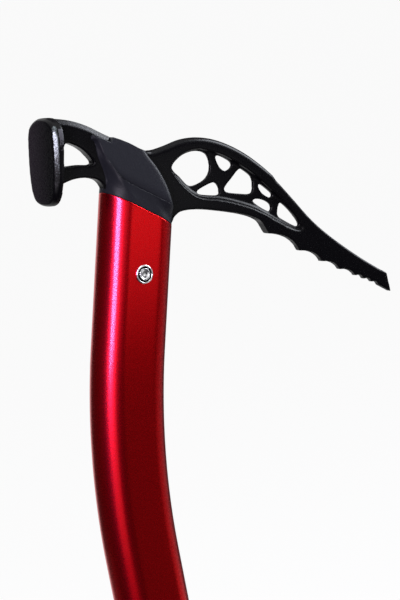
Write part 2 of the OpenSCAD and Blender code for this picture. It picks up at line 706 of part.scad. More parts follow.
forged_head();
head_cover_left();
head_cover_right();
tang_packer_left();
tang_packer_right();
shaft();
head_rivet();
head_rivet_core();
grip_sleeve();
spike();
spike_plug();
spike_rivet();
spike_rivet_core();
hand_rest();
hand_rest_pad();
brake_shoe();
cam_lever();
lever_pin();
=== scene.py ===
# %% [markdown]
# # An ice climbing tool
# The CAD part is loaded as a fixed frame: it gives every piece its place and its size.
# This lesson dresses that frame: each piece gets the rounded edges, the surface and the
# colour that the real tool has, and moves with the CAD body that carries it.

# %% Load the frame
import math

import bmesh
import bpy
import numpy as np
from mathutils import Matrix, Vector
from mathutils.bvhtree import BVHTree


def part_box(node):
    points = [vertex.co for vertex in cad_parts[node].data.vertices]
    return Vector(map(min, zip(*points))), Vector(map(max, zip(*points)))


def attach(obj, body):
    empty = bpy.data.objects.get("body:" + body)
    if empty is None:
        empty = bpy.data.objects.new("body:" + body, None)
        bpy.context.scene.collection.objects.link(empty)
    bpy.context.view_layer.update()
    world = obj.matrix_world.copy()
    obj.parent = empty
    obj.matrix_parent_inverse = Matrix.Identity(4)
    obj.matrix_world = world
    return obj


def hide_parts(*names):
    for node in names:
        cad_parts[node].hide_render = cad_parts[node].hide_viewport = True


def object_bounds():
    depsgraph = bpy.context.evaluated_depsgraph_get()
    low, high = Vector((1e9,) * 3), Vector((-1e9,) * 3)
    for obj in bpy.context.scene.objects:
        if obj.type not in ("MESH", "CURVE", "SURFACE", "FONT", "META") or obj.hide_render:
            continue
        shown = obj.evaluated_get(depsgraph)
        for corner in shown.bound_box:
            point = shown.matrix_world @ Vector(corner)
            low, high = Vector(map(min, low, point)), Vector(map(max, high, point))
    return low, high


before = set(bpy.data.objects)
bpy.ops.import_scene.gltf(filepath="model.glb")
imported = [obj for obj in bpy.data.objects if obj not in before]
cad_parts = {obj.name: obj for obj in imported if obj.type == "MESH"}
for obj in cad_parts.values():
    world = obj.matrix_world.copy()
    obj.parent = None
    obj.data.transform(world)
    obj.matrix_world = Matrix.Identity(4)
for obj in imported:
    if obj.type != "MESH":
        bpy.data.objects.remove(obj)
cad_low, cad_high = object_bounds()
MM = 0.001
print("CAD box in mm:", [round(v / MM, 1) for v in (cad_high - cad_low)])

# %% [markdown]
# ## The head's own frame
# The head is tilted with the neck of the bent shaft, and all its outlines are square to it.
# Working in a frame of its own, with the rivet at the origin and Z up the neck, keeps the
# numbers readable. The rivet's place is measured on the CAD node.

# %% Find the head
bend_angle = math.radians(16)
rivet_low, rivet_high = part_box("head_rivet")
rivet = (rivet_low + rivet_high) / 2
rivet.y = 0
HEAD = Matrix.Translation(rivet) @ Matrix.Rotation(bend_angle, 4, "Y")
HEAD_MM = HEAD @ Matrix.Scale(MM, 4)
print("head rivet in mm:", [round(v / MM, 2) for v in rivet])

# %% [markdown]
# ## Camera
# The viewing angle was read from the photograph: the near side of the head is seen from the
# hammer's end, a little from above, and the picture leans slightly. A long lens keeps the
# perspective as flat as it is there.

# %% Camera
image_w, image_h = 400, 600
view_turn = math.radians(-31)
view_rise = math.radians(3)
view_lean = math.radians(3.15)
view_distance = 1.0
pixels_per_mm = 2.26
rivet_px = (132.0, 272.7)
sensor = 36

focal_px = pixels_per_mm * view_distance / MM
level = Vector((math.cos(view_turn), math.sin(view_turn), 0))
to_camera = Vector((math.sin(view_turn) * math.cos(view_rise),
                    -math.cos(view_turn) * math.cos(view_rise), math.sin(view_rise)))
upright = to_camera.cross(level)
cam_right = math.cos(view_lean) * level + math.sin(view_lean) * upright
cam_up = math.cos(view_lean) * upright - math.sin(view_lean) * level
off_x = (rivet_px[0] - image_w / 2) / focal_px
off_y = (image_h / 2 - rivet_px[1]) / focal_px
eye = (to_camera - off_x * cam_right - off_y * cam_up) * view_distance

camera = bpy.data.objects.new("camera", bpy.data.cameras.new("camera"))
camera.data.sensor_width = sensor
camera.data.lens = focal_px * sensor / image_h
camera.data.clip_start = 0.01
camera.data.clip_end = 100
axes = Matrix((cam_right, cam_up, to_camera)).transposed()
camera.matrix_world = HEAD @ (Matrix.Translation(eye) @ axes.to_4x4())
bpy.context.scene.collection.objects.link(camera)
bpy.context.scene.camera = camera
bpy.context.scene.view_settings.view_transform = "Standard"
print("lens in mm:", round(camera.data.lens, 1))

# %% [markdown]
# ## Helpers for pieces
# Each piece is a mesh in the row frame with its object at the origin. One helper turns a
# bmesh into a piece, gives it its material and ties it to the CAD body that it moves with.

# %% Piece helpers
def piece(name, bm, finish, slot, body, *nodes):
    """Makes the bmesh a shown piece that stands for the CAD nodes and rides on the body."""
    mesh = bpy.data.meshes.new(name)
    bm.to_mesh(mesh)
    bm.free()
    for face in mesh.polygons:
        face.use_smooth = True
    mesh.materials.append(finish)
    obj = bpy.data.objects.new(name, mesh)
    bpy.context.scene.collection.objects.link(obj)
    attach(obj, body)
    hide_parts(*nodes)
    print(name, "faces:", len(mesh.polygons))
    return obj


def merged_copy(node):
    """The CAD node's loose triangles as one closed bmesh."""
    bm = bmesh.new()
    bm.from_mesh(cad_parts[node].data)
    bmesh.ops.remove_doubles(bm, verts=bm.verts, dist=0.002 * MM)
    return bm


# %% [markdown]
# ## Shared surface effects
# No real surface is even. Two effects are used more than once, so each is a node group: a grain
# in every finish that varies gloss and height, and a speck mask that breaks up a painted attribute:
# the strip on the arm, the worn struck edge with its painted glint, and the painted light on the
# hammer's side.

# %% Node helpers
def new_group(name, inputs, outputs):
    """An empty shader node group with named float sockets."""
    group = bpy.data.node_groups.new(name, "ShaderNodeTree")
    for label, value in inputs.items():
        socket = group.interface.new_socket(name=label, in_out="INPUT", socket_type="NodeSocketFloat")
        socket.default_value = value
    for label in outputs:
        group.interface.new_socket(name=label, in_out="OUTPUT", socket_type="NodeSocketFloat")
    return group, group.nodes.new("NodeGroupInput"), group.nodes.new("NodeGroupOutput")


def add(nodes, kind, **values):
    """A node with its settings and the values of its named inputs."""
    node = nodes.new(kind)
    for key, value in values.items():
        if hasattr(node, key):
            setattr(node, key, value)
        else:
            node.inputs[key.replace("_", " ").title()].default_value = value
    return node


# %% Grain group
grain, grain_in, grain_out = new_group("surface grain", {"Scale": 400.0, "Spread": 0.2},
                                       ("Height", "Mask"))
place = add(grain.nodes, "ShaderNodeTexCoord")
fine = add(grain.nodes, "ShaderNodeTexNoise", detail=3.0, roughness=0.6)
spread = add(grain.nodes, "ShaderNodeMapRange", from_min=0.3, from_max=0.7)
below = add(grain.nodes, "ShaderNodeMath", operation="MULTIPLY")
below.inputs[1].default_value = -1.0
grain.links.new(place.outputs["Object"], fine.inputs["Vector"])
grain.links.new(grain_in.outputs["Scale"], fine.inputs["Scale"])
grain.links.new(fine.outputs["Fac"], spread.inputs["Value"])
grain.links.new(grain_in.outputs["Spread"], spread.inputs["To Max"])
grain.links.new(grain_in.outputs["Spread"], below.inputs[0])
grain.links.new(below.outputs[0], spread.inputs["To Min"])
grain.links.new(fine.outputs["Fac"], grain_out.inputs["Height"])
grain.links.new(spread.outputs["Result"], grain_out.inputs["Mask"])
print("group:", grain.name)

# %% Speck group
speck_group, speck_in, speck_out = new_group("specks of wear and light", {"Worn": 0.0, "Scale": 900.0}, ("Mask",))
speck_place = add(speck_group.nodes, "ShaderNodeTexCoord")
specks = add(speck_group.nodes, "ShaderNodeTexNoise", detail=4.0, roughness=0.7)
lowered = add(speck_group.nodes, "ShaderNodeMath", operation="SUBTRACT")
lowered.inputs[0].default_value = 1.0
keep = add(speck_group.nodes, "ShaderNodeMapRange", from_min=-0.07, from_max=0.07)
gap = add(speck_group.nodes, "ShaderNodeMath", operation="SUBTRACT")
speck_group.links.new(speck_place.outputs["Object"], specks.inputs["Vector"])
speck_group.links.new(speck_in.outputs["Scale"], specks.inputs["Scale"])
speck_group.links.new(speck_in.outputs["Worn"], lowered.inputs[1])
speck_group.links.new(specks.outputs["Fac"], gap.inputs[0])
speck_group.links.new(lowered.outputs[0], gap.inputs[1])
speck_group.links.new(gap.outputs[0], keep.inputs["Value"])
speck_group.links.new(keep.outputs["Result"], speck_out.inputs["Mask"])
print("group:", speck_group.name)

# %% [markdown]
# ## Finishes
# Every finish is one Principled shader. A helper sets the even values on the shader's own
# sockets and lets the grain change the gloss and the height of the surface a little.

# %% A finish with grain
def finish(name, colour, gloss, scale, spread_by, depth, **even):
    """A Principled material whose roughness and height follow the grain group."""
    material = bpy.data.materials.new(name)
    material.use_nodes = True
    nodes, links = material.node_tree.nodes, material.node_tree.links
    shader = nodes["Principled BSDF"]
    shader.inputs["Base Color"].default_value = (*colour, 1)
    for key, value in even.items():
        shader.inputs[key.replace("_", " ").title().replace("Ior", "IOR")].default_value = value
    tooth = nodes.new("ShaderNodeGroup")
    tooth.node_tree = grain
    tooth.inputs["Scale"].default_value = scale
    tooth.inputs["Spread"].default_value = spread_by
    rough = add(nodes, "ShaderNodeMath", operation="ADD", use_clamp=True)
    rough.inputs[0].default_value = gloss
    bump = add(nodes, "ShaderNodeBump", distance=depth * MM, strength=1.0)
    links.new(tooth.outputs["Mask"], rough.inputs[1])
    links.new(rough.outputs[0], shader.inputs["Roughness"])
    links.new(tooth.outputs["Height"], bump.inputs["Height"])
    links.new(bump.outputs["Normal"], shader.inputs["Normal"])
    return material


# %% Even finishes
cover_nylon = finish("cover nylon", (0.0080, 0.0084, 0.0116), gloss=0.44, scale=1500,
                     spread_by=0.05, depth=0.05, specular_ior_level=0.11)
anodised_red = finish("anodised red", (0.58, 0.0016, 0.0036), gloss=0.28, scale=2600,
                      spread_by=0.04, depth=0.02, metallic=1.0,
                      coat_weight=0.08, coat_roughness=0.15)
polished_steel = finish("polished steel", (0.70, 0.70, 0.72), gloss=0.16, scale=1800,
                        spread_by=0.04, depth=0.01, metallic=1.0)
grip_rubber = finish("grip rubber", (0.019, 0.019, 0.021), gloss=0.68, scale=1300,
                     spread_by=0.06, depth=0.08, specular_ior_level=0.25)
spike_steel = finish("spike steel", (0.52, 0.52, 0.54), gloss=0.3, scale=900,
                     spread_by=0.08, depth=0.03, metallic=1.0)
rest_nylon = finish("rest nylon", (0.026, 0.026, 0.030), gloss=0.5, scale=1400,
                    spread_by=0.06, depth=0.06, specular_ior_level=0.3)
lever_alloy = finish("lever alloy", (0.030, 0.030, 0.033), gloss=0.38, scale=2200,
                     spread_by=0.05, depth=0.02, metallic=0.6)
print("finishes:", len(bpy.data.materials))

# %% [markdown]
# ## Black forged steel
# The forging is coated a deep satin black. Three looks differ and are painted on the mesh as
# attributes: the dull striking face, with painted shade that darkens it toward the near side; a
# rough strip on top of the arm, a little lighter toward the cover, which also carries the painted
# light on the top of the hammer's side; and the struck edge of the hammer, where the coating is
# rubbed to bright metal and a painted glint brightens it.

# %% Forged steel
forged_black = finish("forged black", (0.0012, 0.0011, 0.0016), gloss=0.30, scale=1100,
                      spread_by=0.05, depth=0.03, specular_ior_level=0.10)
nodes, links = forged_black.node_tree.nodes, forged_black.node_tree.links
shader = nodes["Principled BSDF"]
# Colours of the painted places: the face with its painted shade, the strip, which also holds the
# painted light on the hammer's side, and the struck edge with its wear and painted glint.
colours = {"face": (0.0125, 0.0100, 0.0130, 1), "strip": (0.060, 0.062, 0.068, 1),
           "bare_and_glint": (0.060, 0.069, 0.072, 1)}
speck_scales = {"strip": 1300, "bare_and_glint": 2300}
mixed = None
masks = {}
# Specks break up the strip, with the painted light on the hammer's side, and the struck edge with its
# wear and painted glint.
for label, colour in colours.items():
    painted = add(nodes, "ShaderNodeAttribute", attribute_name=label)
    masks[label] = painted.outputs["Fac"]
    if label in speck_scales:
        specked = nodes.new("ShaderNodeGroup")
        specked.node_tree = speck_group
        specked.inputs["Scale"].default_value = speck_scales[label]
        links.new(painted.outputs["Fac"], specked.inputs["Worn"])
        masks[label] = specked.outputs["Mask"]
    over = add(nodes, "ShaderNodeMix", data_type="RGBA")
    if mixed is None:
        over.inputs["A"].default_value = shader.inputs["Base Color"].default_value
    else:
        links.new(mixed, over.inputs["A"])
    over.inputs["B"].default_value = colour
    links.new(masks[label], over.inputs["Factor"])
    mixed = over.outputs["Result"]
links.new(mixed, shader.inputs["Base Color"])
# The struck edge, rubbed metal with a painted glint, turns metallic.
links.new(masks["bare_and_glint"], shader.inputs["Metallic"])
print("painted places:", ", ".join(colours))

# %% [markdown]
# ## Head forging
# A drop forging has no sharp edge: corners outside and inside are round. Bevelling each edge
# would miss the inner corners, so a closed copy of the CAD solid is skinned with an even fine
# mesh, shaped by a few formulas as a sculptor would, and smoothed. First the skin is made,
# in millimetres in the head's own frame.

# %% Skin of the forging
skin_pitch = 0.43

solid = merged_copy("forged_head")
bmesh.ops.transform(solid, matrix=HEAD_MM.inverted(), verts=solid.verts)
top_tree = BVHTree.FromBMesh(solid)
lump = bpy.data.objects.new("lump", bpy.data.meshes.new("lump"))
solid.to_mesh(lump.data)
solid.free()
bpy.context.scene.collection.objects.link(lump)
skin = lump.modifiers.new("skin", "REMESH")
skin.mode = "VOXEL"
skin.voxel_size = skin_pitch
skinned = lump.evaluated_get(bpy.context.evaluated_depsgraph_get()).to_mesh()
forging = bmesh.new()
forging.from_mesh(skinned)
bpy.data.objects.remove(lump)
print("skin points:", len(forging.verts))

# %% [markdown]
# The top outline of the head is found by dropping rays on it. A point's depth below that
# outline and its distance from the middle plane are then enough to cut the flat chamfer along
# the arm and to round the beam of the pick like a bullnose.

# %% Top and lower outline
ray_from, ray_to, ray_pitch = -46.0, 139.5, 0.5
ray_height, off_middle = 200.0, 0.01
outline_x = np.arange(ray_from, ray_to, ray_pitch)


def outline(height, way):
    """Where rays along Z, dropped or raised at each outline_x, meet the head."""
    starts = [Vector((x, off_middle, height)) for x in outline_x]
    hits = [top_tree.ray_cast(start, Vector((0, 0, way)))[0].z for start in starts]
    return np.convolve(np.pad(hits, 1, mode="edge"), (0.25, 0.5, 0.25), mode="valid")


outline_z = outline(ray_height, -1)
outline_slope = np.gradient(outline_z, outline_x)
lower_z = outline(-ray_height, 1)
print("crown in mm:", round(float(outline_z.max()), 1))

# %% Chamfer and bullnose
arm_from, arm_to = -43.5, -9.0
chamfer_in, chamfer_down = 1.5, 2.5
cut_slack, depth_slack = 0.02, 0.3
beam_from, beam_to = 1.9, 134.0
beam_run = [2, 5, 62, 74, 134]
beam_heights = [0.6, 2.6, 2.6, 1.0, 0.8]
plan_run = [-60, 63, 84, 141]
plan_halves = [3.0, 3.0, 1.8, 1.6]

points = np.array([v.co for v in forging.verts])
slope = np.interp(points[:, 0], outline_x, outline_slope)
lean = np.sqrt(1 + slope ** 2)
depth = (np.interp(points[:, 0], outline_x, outline_z) - points[:, 2]) / lean
half = np.abs(points[:, 1])
side = np.sign(points[:, 1])
body_half = np.interp(points[:, 0], plan_run, plan_halves)
beam_round = np.interp(points[:, 0], beam_run, beam_heights)

on_arm = (points[:, 0] > arm_from) & (points[:, 0] < arm_to)
past_cut = (half - (body_half - chamfer_in)) / chamfer_in - depth / chamfer_down
strip = on_arm & (past_cut > -cut_slack) & (depth < chamfer_down + depth_slack)
back_by = np.where(strip, np.maximum(past_cut, 0), 0) / (chamfer_in ** -2 + chamfer_down ** -2)
new_half = half - back_by / chamfer_in
new_depth = depth + back_by / chamfer_down

on_beam = (points[:, 0] > beam_from) & (points[:, 0] < beam_to) & (depth < beam_round)
up = np.clip((beam_round - depth) / beam_round, 0, 1)
reach = np.sqrt((half / body_half) ** 2 + up ** 2)
pull = np.where(on_beam & (reach > 1), 1 / np.maximum(reach, 1e-6), 1)
new_half = new_half * pull
new_depth = np.where(on_beam, beam_round * (1 - up * pull), new_depth)

down = new_depth - depth
points[:, 0] += down * slope / lean
points[:, 2] -= down / lean
points[:, 1] = side * new_half
print("chamfered points:", int(strip.sum()), "rounded points:", int((pull < 1).sum()))

# %% [markdown]
# The web of the pick lies in a recess on each side. The recess's lower wall has draft, so that
# the forging leaves its die: a slope climbs from the web to a narrow shelf under the rim. The
# slope and the rim's round edge catch the light along the whole pick, and the shelf between them
# stays dark. A point of the web is lifted if a ray finds the rim just below it.

# %% Drafted wall of the recess
recess_from, recess_to, recess_depth = 8.0, 92.0, 5.0
web_half, web_share, rim_share = 1.0, 0.8, 0.9
draft_slope, draft_share, shelf_w = 0.75, 0.42, 0.75
draft_reach, draft_step, halvings = 2.1, 0.15, 4
beside = -20.0


def drop_to_rim(x, z, rim):
    """How far below a point of the web the rim begins, or None where there is no rim near."""
    def on_rim(drop):
        hit = top_tree.ray_cast(Vector((x, beside, z - drop)), Vector((0, 1, 0)))[0]
        return hit and -hit.y > rim_share * rim
    drops = np.arange(draft_step, draft_reach, draft_step)
    low = next((drop for drop in drops if on_rim(drop)), None)
    if low is None:
        return None
    high = low - draft_step
    for _ in range(halvings):
        middle = (low + high) / 2
        low, high = (middle, high) if on_rim(middle) else (low, middle)
    return low


in_recess = (points[:, 0] > recess_from) & (points[:, 0] < recess_to) & (depth > recess_depth)
on_web = in_recess & (half > web_share * web_half) & (half < rim_share * body_half)
drafted = np.zeros(len(points), bool)
for i in np.flatnonzero(on_web):
    drop = drop_to_rim(points[i, 0], points[i, 2], body_half[i])
    if drop is not None:
        step_foot = web_half + draft_share * (body_half[i] - web_half)
        points[i, 1] = side[i] * max(half[i], step_foot - draft_slope * max(drop - shelf_w, 0))
        drafted[i] = True
print("drafted points:", int(drafted.sum()))

# %% [markdown]
# The struck face of the hammer is worn on its near side, so its bevel is broader there than at
# the top and the foot. The block's half width at each height says where the bevel begins.

# %% Broad bevel of the hammer
face_tilt = math.radians(6.5)
face_middle = np.array((-47.5, 0, 46.2))
face_normal = np.array((-math.cos(face_tilt), 0, -math.sin(face_tilt)))
block_run = [33.3, 35.6, 38.1, 42.0, 46.4, 51.6, 55.1, 57.8, 59.8, 61.2]
block_halves = [11.2, 11.9, 12.4, 12.9, 13.2, 13.2, 13.1, 12.8, 12.3, 11.5]
bevel_in, bevel_back, bevel_slack = 1.5, 2.2, 0.3
bevel_ends = [33.3, 38.0, 57.5, 61.2]
bevel_side = -9.0

behind = -(points - face_middle) @ face_normal
broad = np.interp(points[:, 2], bevel_ends, [0, 1, 1, 0])
block_half = np.interp(points[:, 2], block_run, block_halves)
past_bevel = (-points[:, 1] - (block_half - bevel_in)) / bevel_in - behind / bevel_back
on_block = (behind < bevel_back + bevel_slack) & (points[:, 1] < bevel_side)
past_bevel = np.where(on_block, np.maximum(past_bevel, 0), 0)
back_by = past_bevel * broad / (bevel_in ** -2 + bevel_back ** -2)
points[:, 1] += back_by / bevel_in
points -= np.outer(back_by / bevel_back, face_normal)
for vert, point in zip(forging.verts, points):
    vert.co = point
print("bevelled points:", int((back_by > 0).sum()))

# %% [markdown]
# The painted places are found the same way: by their distance from the striking face, which
# leans, and from the arm's chamfer. How strong each is changes along the head: the painted shade
# across the face of the block, the struck edge's wear and painted glint with height, the painted
# light on the wall behind it toward its top, and the strip's tone toward the cover.

# %% Paint the forging
block_near, block_side, block_deep = -10.5, -11.8, 7.0
face_skin, edge_top, wall_top = 0.2, 62.2, 63.0
strip_from, strip_run = 0.35, 28.0
strip_least, strip_more = 0.41, 0.05


def painted_ramp(along, start, run, at_start, most):
    """A painted amount that is at_start at the start and grows by 1 over each run, but not past most.
    """
    return np.clip(at_start + (along - start) / run, 0, most)


height = points[:, 2]
behind = -(points - face_middle) @ face_normal
near_block = (behind < block_deep) & (points[:, 1] < block_near)
struck = near_block & (behind > face_skin) & (behind < bevel_back) & (height < edge_top)
past_edge = near_block & (behind > bevel_back + bevel_slack)
wall_side = past_edge & (points[:, 1] < block_side) & (height < wall_top)
toward_cover = np.clip((points[:, 0] - arm_from) / strip_run, 0, 1)
# Painted shade: the striking face darkens toward the near side of the block.
face_shade_across = painted_ramp(points[:, 1], start=0.0, run=18.0, at_start=0.40, most=1.0)
# The struck edge: rubbed metal, and a painted glint that grows with height.
edge_wear_and_glint = painted_ramp(height, start=34.0, run=70.0, at_start=0.28, most=0.60)
# Painted light: the hammer's side wall is lit at its top and fades downward.
wall_lit_at_top = painted_ramp(height, start=52.0, run=24.0, at_start=0.38, most=0.8)
# The strip is painted lighter, a little more toward the cover.
strip_tone = np.where(strip & (depth > strip_from), strip_least + strip_more * toward_cover, 0)
# The strip attribute also carries the painted light on the hammer's side wall.
paint = {"face": np.where(behind < face_skin, face_shade_across, 0),
         "strip": np.maximum(strip_tone, np.where(wall_side, wall_lit_at_top, 0)),
         "bare_and_glint": np.where(struck, edge_wear_and_glint, 0)}
for label, values in paint.items():
    layer = forging.verts.layers.float.new(label)
    for vert, value in zip(forging.verts, values):
        vert[layer] = value
print("painted points:", {label: int((values > 0).sum()) for label, values in paint.items()})

# %% [markdown]
# A few rounds of smoothing blend all corners. The teeth under the point stay crisp, and the
# drafted wall is left out of the last round. Then the mesh goes back to the row frame.

# %% Smooth and place the forging
smooth_rounds, draft_rounds = 3, 2
teeth_from, teeth_high = 62.0, 3.0

above_foot = points[:, 2] - np.interp(points[:, 0], outline_x, lower_z)
crisp = (points[:, 0] > teeth_from) & (above_foot < teeth_high)
for smooth_round in range(smooth_rounds):
    fixed = crisp if smooth_round < draft_rounds else crisp | drafted
    soft = [v for v, held in zip(forging.verts, fixed) if not held]
    bmesh.ops.smooth_vert(forging, verts=soft, factor=0.5,
                          use_axis_x=True, use_axis_y=True, use_axis_z=True)
bmesh.ops.transform(forging, matrix=HEAD_MM, verts=forging.verts)
piece("head_forging", forging, forged_black, "forged_steel", "tool", "forged_head")

# %% [markdown]
# ## Shaft
# The shaft is one drawn oval tube, bent once. It is made as a pipe bender makes it: an oval
# ring is extruded up the straight, spun round the bend and extruded along the neck.

# %% Bent tube
shaft_w, shaft_d = 34.5, 22.0
bend_radius = 340.0
tube_top = 281.0
tube_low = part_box("shaft")[0].z
ring_points, flat_least, flat_cuts = 96, 5.0, 7
straight_steps, bend_steps = 8, 24
neck_steps, neck_step = 4, 20.0

tube = bmesh.new()
bmesh.ops.create_circle(tube, segments=ring_points, radius=shaft_d / 2 * MM,
                        matrix=Matrix.Rotation(math.pi / ring_points, 4, "Z"))
for vert in tube.verts:
    vert.co.x += math.copysign((shaft_w - shaft_d) / 2 * MM, vert.co.x)
flats = [e for e in tube.edges if e.calc_length() > flat_least * MM]
bmesh.ops.subdivide_edges(tube, edges=flats, cuts=flat_cuts)
bmesh.ops.translate(tube, vec=(0, 0, tube_low), verts=tube.verts)


def extruded(bm, edges, shift):
    """Extrudes a ring of edges by shift and returns the new ring."""
    made = bmesh.ops.extrude_edge_only(bm, edges=edges)["geom"]
    bmesh.ops.translate(bm, vec=shift, verts=[g for g in made if isinstance(g, bmesh.types.BMVert)])
    return [g for g in made if isinstance(g, bmesh.types.BMEdge)]


ring = list(tube.edges)
for _ in range(straight_steps):
    ring = extruded(tube, ring, (0, 0, (tube_top * MM - tube_low) / straight_steps))
spun = bmesh.ops.spin(tube, geom=ring, cent=(bend_radius * MM, 0, tube_top * MM), axis=(0, 1, 0),
                      angle=bend_angle, steps=bend_steps)["geom_last"]
ring = [g for g in spun if isinstance(g, bmesh.types.BMEdge)]
neck = Vector((math.sin(bend_angle), 0, math.cos(bend_angle)))
for _ in range(neck_steps):
    ring = extruded(tube, ring, neck * neck_step * MM)
print("tube faces:", len(tube.faces))

# %% [markdown]
# The neck is cut off on a slant with a plane, and a second cut just below it keeps the bevel on
# the rim short. The skin is then given its wall, and both edges of the rim are rounded.

# %% Slanted top and wall
cut_rise, cut_slant = 28.0, math.radians(21)
tube_wall = 2.0
mouth_round, mouth_turn, on_cut = 0.4, 0.8, 0.01

cut_point = HEAD_MM @ Vector((0, 0, cut_rise))
cut_normal = HEAD.to_3x3() @ Vector((math.sin(cut_slant), 0, math.cos(cut_slant)))


def all_of(bm):
    """Every point, edge and face, as the cutting operator wants them."""
    return bm.verts[:] + bm.edges[:] + bm.faces[:]


def from_cut(vert):
    """How far a point of the tube lies from the plane of the cut."""
    return abs((vert.co - cut_point).dot(cut_normal))


bmesh.ops.bisect_plane(tube, geom=all_of(tube), plane_co=cut_point, plane_no=cut_normal,
                       clear_outer=True)
bmesh.ops.bisect_plane(tube, geom=all_of(tube), plane_co=cut_point - cut_normal * MM,
                       plane_no=cut_normal)
bmesh.ops.recalc_face_normals(tube, faces=tube.faces)
bmesh.ops.solidify(tube, geom=tube.faces[:], thickness=tube_wall * MM)
bmesh.ops.recalc_face_normals(tube, faces=tube.faces)
mouth = [e for e in tube.edges if all(from_cut(v) < on_cut * MM for v in e.verts)]
corners = [e for e in mouth if e.calc_face_angle() > mouth_turn]
bmesh.ops.bevel(tube, geom=corners, offset=mouth_round * MM, offset_type="OFFSET", affect="EDGES",
                segments=3, profile=0.5, material=-1, clamp_overlap=True)
shaft_tube = piece("shaft_tube", tube, anodised_red, "shaft_alloy", "tool", "shaft")

# %% [markdown]
# ## Head cover
# Two moulded nylon halves hide the joint of head and shaft. A proud collar and flank run up to
# a crease; above it the cheek lies a step lower and thins out on the steel. The surface is a
# fine grid. Its columns stand side by side from the hammer's side to the pick's, and each climbs
# from the tube over the crease to the top. Its outer edges are those of the CAD solid, and the
# crease has the softer run that a moulded part has.

# %% Curve helpers
def smooth_through(spots):
    """A function of 0 to 1 that runs smoothly through the points."""
    pts = np.array(spots, float)
    def at(u):
        s = min(max(u, 0), 1) * (len(pts) - 1)
        i = min(int(s), len(pts) - 2)
        a, b, c, d = pts[max(i - 1, 0)], pts[i], pts[i + 1], pts[min(i + 2, len(pts) - 1)]
        t = s - i
        return 0.5 * (2 * b + (c - a) * t + (2 * a - 5 * b + 4 * c - d) * t ** 2
                      + (3 * b - a - 3 * c + d) * t ** 3)
    return at


def ease(t):
    """Rises from 0 to 1, level at both ends."""
    c = min(max(t, 0.0), 1.0)
    return c * c * (3 - 2 * c)


# %% Outlines of the cover
pick_reach, head_rise, hammer_reach = 140.0, 61.6, 47.5
flank_edge = [(0.4, 65), (3.1, 71.4), (6.3, 76.3), (10.4, 82.8), (13.8, 91)]
tongue_tip = (18.2, 95.3)
tongue_top = [(52.6, 96.3), (43.2, 94.2), (34.1, 91.9)]
cap_top = [(32.2, 95.9), (24.4, 94.5), (14.7, 92.2), (4.8, 89.1)]
front_edge = [(2.4, 57.5), (3.7, 64.3), (5.5, 71.4), (7.5, 77.3), (9.9, 83.1), (11.5, 87.8)]
flank_turn, flank_climb, crease_end = 4.0, 1.05, 1.3
collar_h = 8.0
tip_in, tip_drop = 0.35, 1.5


def cut_z(x):
    """Height of the tube's slanted cut at x."""
    return cut_rise - x * math.tan(cut_slant)


def crease_z(x):
    """Height of the crease at x: it follows the cut in front and climbs toward the hammer."""
    t = x + shaft_w / 2 - flank_turn
    return cut_z(x) + collar_h + flank_climb * (math.sqrt(t * t + flank_turn ** 2 / 9) - t) / 2


def from_back(p):
    """A point in percent of hammer reach and head rise, counted from the tube's back."""
    return (-shaft_w / 2 - p[0] * hammer_reach / 100, p[1] * head_rise / 100)


def from_front(p):
    """A point in percent of pick reach and head rise, counted back from the tube's front."""
    return (shaft_w / 2 - p[0] * pick_reach / 100, p[1] * head_rise / 100)


def on_arm_side(p):
    """A point in percent of hammer reach and head rise, counted from the tube's middle."""
    return (-p[0] * hammer_reach / 100, p[1] * head_rise / 100)


tip = from_back(tongue_tip)
tip_low = (tip[0] + tip_in, tip[1] - tip_drop)
crease_x = from_front((crease_end, 0))[0]
front_line = smooth_through([(crease_x, crease_z(crease_x))] + [from_front(p) for p in front_edge])
back_foot = (-shaft_w / 2, cut_z(-shaft_w / 2))
back_line = smooth_through([back_foot] + [from_back(p) for p in flank_edge] + [tip_low])
tongue_line = smooth_through([tip] + [on_arm_side(p) for p in tongue_top])
cap_line = smooth_through([on_arm_side(p) for p in cap_top] + [tuple(front_line(1))])
print("tongue tip in mm:", [round(v, 1) for v in tip])

# %% Lines of the cover's grid
tongue_share, tip_blend, back_count = 0.27, 12, 200


def foot_at(u):
    """The foot of column u, on the tube's cut."""
    x = -shaft_w / 2 * math.cos(math.pi * u)
    return np.array((x, cut_z(x)))


def crease_at(u):
    """The crease in column u, drawn into the tongue's tip at the back."""
    x = tip_low[0] + (crease_x - tip_low[0]) * u
    blend = ease(u * tip_blend)
    return np.array((x, crease_z(x))) * blend + np.array(tip_low) * (1 - blend)


def top_at(u):
    """The top of column u: first along the tongue, then along the cap."""
    if u < tongue_share:
        return tongue_line(u / tongue_share)
    return cap_line((u - tongue_share) / (1 - tongue_share))


back_points = np.array([back_line(i / (back_count - 1)) for i in range(back_count)])
print("crease in mm, back and front:", [round(float(crease_at(u)[0]), 1) for u in (0, 1)])

# %% [markdown]
# How far a point stands out from the middle plane follows the tube at the foot and the steel at
# the top. The step at the crease, the steep wall along the back edge and the rounding of the
# edges are a small function each.

# %% Depth of the cover
cheek_low, cheek_high, cheek_fall, cheek_in = 9.4, 4.8, 0.9, 8
steel_half = 3.6
crease_t, step_in, step_late, step_out = 1.2, 6, 0.9, 8
wall_foot, wall_slope, wall_blend = 2.8, 1.8, 0.5


def tube_half(x):
    """Half the tube's depth at x."""
    over = max(0, abs(x) - (shaft_w - shaft_d) / 2)
    return math.sqrt(max(0, shaft_d ** 2 / 4 - over ** 2))


def cheek_half(p, to_front, u):
    """Half the cheek's depth: less with height, and down to the steel at its front and back."""
    low, high = cut_rise + collar_h, cap_top[0][1] * head_rise / 100
    full = cheek_low + (cheek_high - cheek_low) * (p[1] - low) / (high - low)
    from_edge = 1 - math.exp(-to_front / cheek_fall)
    return steel_half + (full - steel_half) * from_edge * ease(cheek_in * u)


def ledge(u):
    """Height of the step from the flank down to the cheek."""
    return crease_t * ease(step_in * u - step_late) * ease(step_out * (1 - u))


